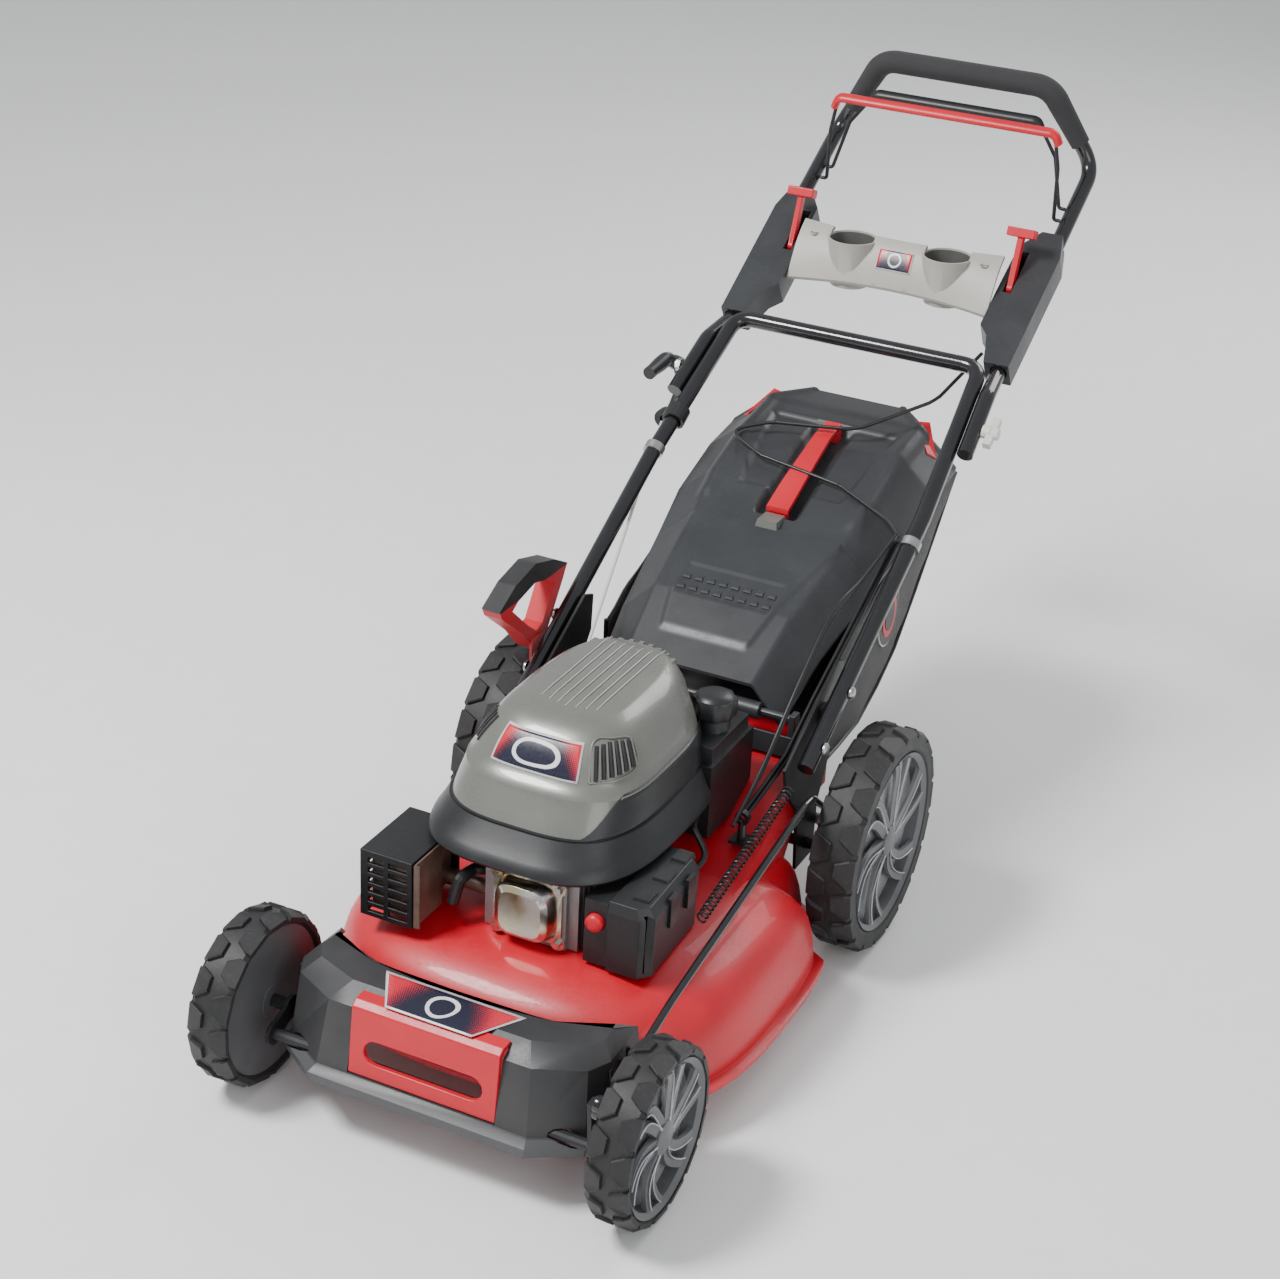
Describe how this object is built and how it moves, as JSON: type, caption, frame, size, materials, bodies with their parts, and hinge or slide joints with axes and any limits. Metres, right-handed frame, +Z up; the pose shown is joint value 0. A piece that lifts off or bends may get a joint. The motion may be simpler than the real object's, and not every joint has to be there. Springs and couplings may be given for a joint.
{
  "type": "walk-behind lawn mower",
  "caption": "Petrol lawn mower with red deck, grey engine cowl, folding tube handle, console with cup holders, and rear grass bag.",
  "frame": {"origin": "on the ground plane (Z = 0) under the middle of the mower's bounding box", "axes": "+Z up, the mower drives towards -Y, +X is the side of the operator's left hand; +Y points from the front wheels to the grip"},
  "size_m": [0.542, 1.5142, 0.893],
  "materials": {
    "red_paint": "bright red gloss enamel",
    "red_plastic": "bright red moulded plastic",
    "black_plastic": "black moulded plastic, satin",
    "black_paint": "gloss black powder coat",
    "dark_plastic": "dark grey textured plastic",
    "engine_grey": "warm grey painted plastic cowl",
    "console_grey": "light warm-grey plastic",
    "plated_steel": "yellow-zinc plated pressing",
    "steel": "plain steel",
    "cast_alloy": "as-cast alloy",
    "foam": "black foam sleeve",
    "tyre": "black tyre",
    "rim_grey": "grey moulded wheel",
    "bag_fabric": "black woven bag cloth",
    "cable": "black cable sheath",
    "rope": "white braided cord",
    "white_plastic": "pale plastic"
  },
  "bodies": {
    "mower": {"deck_shell": "red_paint", "front_cover": "black_plastic", "front_handle": "red_plastic", "engine_block": "cast_alloy", "valve_cover": "plated_steel", "spark_plug_boot": "black_plastic", "muffler": "steel", "muffler_guard": "black_paint", "heat_shield": "steel", "blower_housing": "black_plastic", "engine_cover": "engine_grey", "fuel_tank": "black_plastic", "fuel_hose": "cable", "carburettor": "cast_alloy", "air_filter_base": "black_plastic", "air_filter_cover": "black_plastic", "handle_bracket_left": "black_paint", "handle_bracket_right": "black_paint", "lower_handle": "black_paint", "rope_guide": "black_plastic", "starter_rope": "rope", "lower_cables": "cable", "handle_cables": "cable", "cable_guide": "black_plastic", "hinge_bar": "dark_plastic", "lift_spring": "black_paint"},
    "blade_shaft": {"crankshaft": "steel", "blade": "steel"},
    "starter_drum": {"starter_pulley": "black_plastic"},
    "pull_handle": {"starter_handle": "black_plastic"},
    "fuel_lid": {"fuel_cap": "black_plastic"},
    "primer": {"primer_bulb": "red_plastic"},
    "rear_crank": {"rear_axle": "black_paint", "gearbox": "cast_alloy", "height_lever": "red_plastic"},
    "front_crank": {"front_axle": "black_paint"},
    "link": {"tie_rod": "black_paint"},
    "flap": {"rear_flap": "dark_plastic"},
    "bag": {"bag_lid": "dark_plastic", "bag_body": "bag_fabric", "bag_handle": "red_plastic"},
    "handle": {"upper_handle": "black_paint", "foam_grip": "foam", "console": "console_grey", "bracket_shell_left": "dark_plastic", "bracket_shell_right": "dark_plastic"},
    "knob_left": {"fold_knob_left": "white_plastic"},
    "knob_right": {"fold_knob_right": "steel"},
    "bail_brake": {"brake_bail": "red_plastic"},
    "bail_drive": {"drive_bail": "black_plastic"},
    "lever_left": {"control_lever_left": "red_plastic"},
    "lever_right": {"control_lever_right": "red_plastic"},
    "wheel_rear_left": {"tyre_rear_left": "tyre", "rim_rear_left": "rim_grey"},
    "wheel_rear_right": {"tyre_rear_right": "tyre", "rim_rear_right": "rim_grey"},
    "wheel_front_left": {"tyre_front_left": "tyre", "rim_front_left": "rim_grey"},
    "wheel_front_right": {"tyre_front_right": "tyre", "rim_front_right": "rim_grey"}
  },
  "joints": [
    {"name": "height_adjust", "type": "hinge", "parent": "mower", "child": "rear_crank", "pos_m": [0, -0.08741, 0.126], "axis": [1, 0, 0], "range_deg": [-45, 0]},
    {"name": "front_height", "type": "hinge", "parent": "mower", "child": "front_crank", "pos_m": [0, -0.69041, 0.0867], "axis": [1, 0, 0], "range_deg": [-45, 0]},
    {"name": "tie_rod_travel", "type": "slide", "parent": "mower", "child": "link", "axis": [0, 0.9675, -0.2529], "range_m": [0, 0.04481]},
    {"name": "roll_rear_left", "type": "hinge", "parent": "rear_crank", "child": "wheel_rear_left", "pos_m": [0.24, -0.05341, 0.14], "axis": [1, 0, 0], "continuous": true},
    {"name": "roll_rear_right", "type": "hinge", "parent": "rear_crank", "child": "wheel_rear_right", "pos_m": [-0.24, -0.05341, 0.14], "axis": [1, 0, 0], "continuous": true},
    {"name": "roll_front_left", "type": "hinge", "parent": "front_crank", "child": "wheel_front_left", "pos_m": [0.24, -0.65641, 0.1007], "axis": [1, 0, 0], "continuous": true},
    {"name": "roll_front_right", "type": "hinge", "parent": "front_crank", "child": "wheel_front_right", "pos_m": [-0.24, -0.65641, 0.1007], "axis": [1, 0, 0], "continuous": true},
    {"name": "blade_spin", "type": "hinge", "parent": "mower", "child": "blade_shaft", "pos_m": [0, -0.34341, 0.095], "axis": [0, 0, 1], "continuous": true},
    {"name": "starter_pull", "type": "slide", "parent": "mower", "child": "pull_handle", "axis": [-0.2504, 0.9289, 0.2728], "range_m": [0, 0.45], "stiffness_N_per_m": 20},
    {"name": "starter_wind", "type": "hinge", "parent": "mower", "child": "starter_drum", "pos_m": [0, -0.34341, 0.298], "axis": [0, 0, 1], "range_deg": [0, 600]},
    {"name": "fuel_cap_turn", "type": "hinge", "parent": "mower", "child": "fuel_lid", "pos_m": [0.088, -0.20341, 0.345], "axis": [0, 0, 1], "range_deg": [0, 120]},
    {"name": "primer_press", "type": "slide", "parent": "mower", "child": "primer", "axis": [0, 1, 0], "range_m": [0, 0.004], "stiffness_N_per_m": 800},
    {"name": "flap_lift", "type": "hinge", "parent": "mower", "child": "flap", "pos_m": [0, -0.09141, 0.29], "axis": [1, 0, 0], "range_deg": [0, 40], "stiffness_Nm_per_rad": 1, "springref_deg": -17.19},
    {"name": "bag_pull", "type": "slide", "parent": "mower", "child": "bag", "axis": [0, 1, 0], "range_m": [0, 0.35]},
    {"name": "handle_fold", "type": "hinge", "parent": "mower", "child": "handle", "pos_m": [0, 0.30624, 0.53896], "axis": [1, 0, 0], "range_deg": [0, 140], "deforming": ["handle_cables"]},
    {"name": "knob_turn_left", "type": "hinge", "parent": "handle", "child": "knob_left", "pos_m": [0.222, 0.30624, 0.53896], "axis": [1, 0, 0], "range_deg": [0, 180]},
    {"name": "knob_turn_right", "type": "hinge", "parent": "handle", "child": "knob_right", "pos_m": [-0.216, 0.30624, 0.53896], "axis": [1, 0, 0], "range_deg": [0, 180]},
    {"name": "brake_bail_swing", "type": "hinge", "parent": "handle", "child": "bail_brake", "pos_m": [0, 0.6593, 0.71592], "axis": [1, 0, 0], "range_deg": [-12, 0], "stiffness_Nm_per_rad": 2, "springref_deg": 17.19},
    {"name": "drive_bail_swing", "type": "hinge", "parent": "handle", "child": "bail_drive", "pos_m": [0, 0.67825, 0.7271], "axis": [1, 0, 0], "range_deg": [-10, 0], "stiffness_Nm_per_rad": 2, "springref_deg": 17.19},
    {"name": "lever_left_swing", "type": "hinge", "parent": "handle", "child": "lever_left", "pos_m": [0.158, 0.5273, 0.65429], "axis": [1, 0, 0], "range_deg": [-15, 15]},
    {"name": "lever_right_swing", "type": "hinge", "parent": "handle", "child": "lever_right", "pos_m": [-0.158, 0.5273, 0.65429], "axis": [1, 0, 0], "range_deg": [-15, 15]}
  ],
  "couplings": [
    {"joint": "front_height", "follows": "height_adjust", "ratio": 1},
    {"joint": "tie_rod_travel", "follows": "height_adjust", "m_per_rad": -0.057056},
    {"joint": "starter_wind", "follows": "starter_pull", "rad_per_m": 22.727}
  ]
}
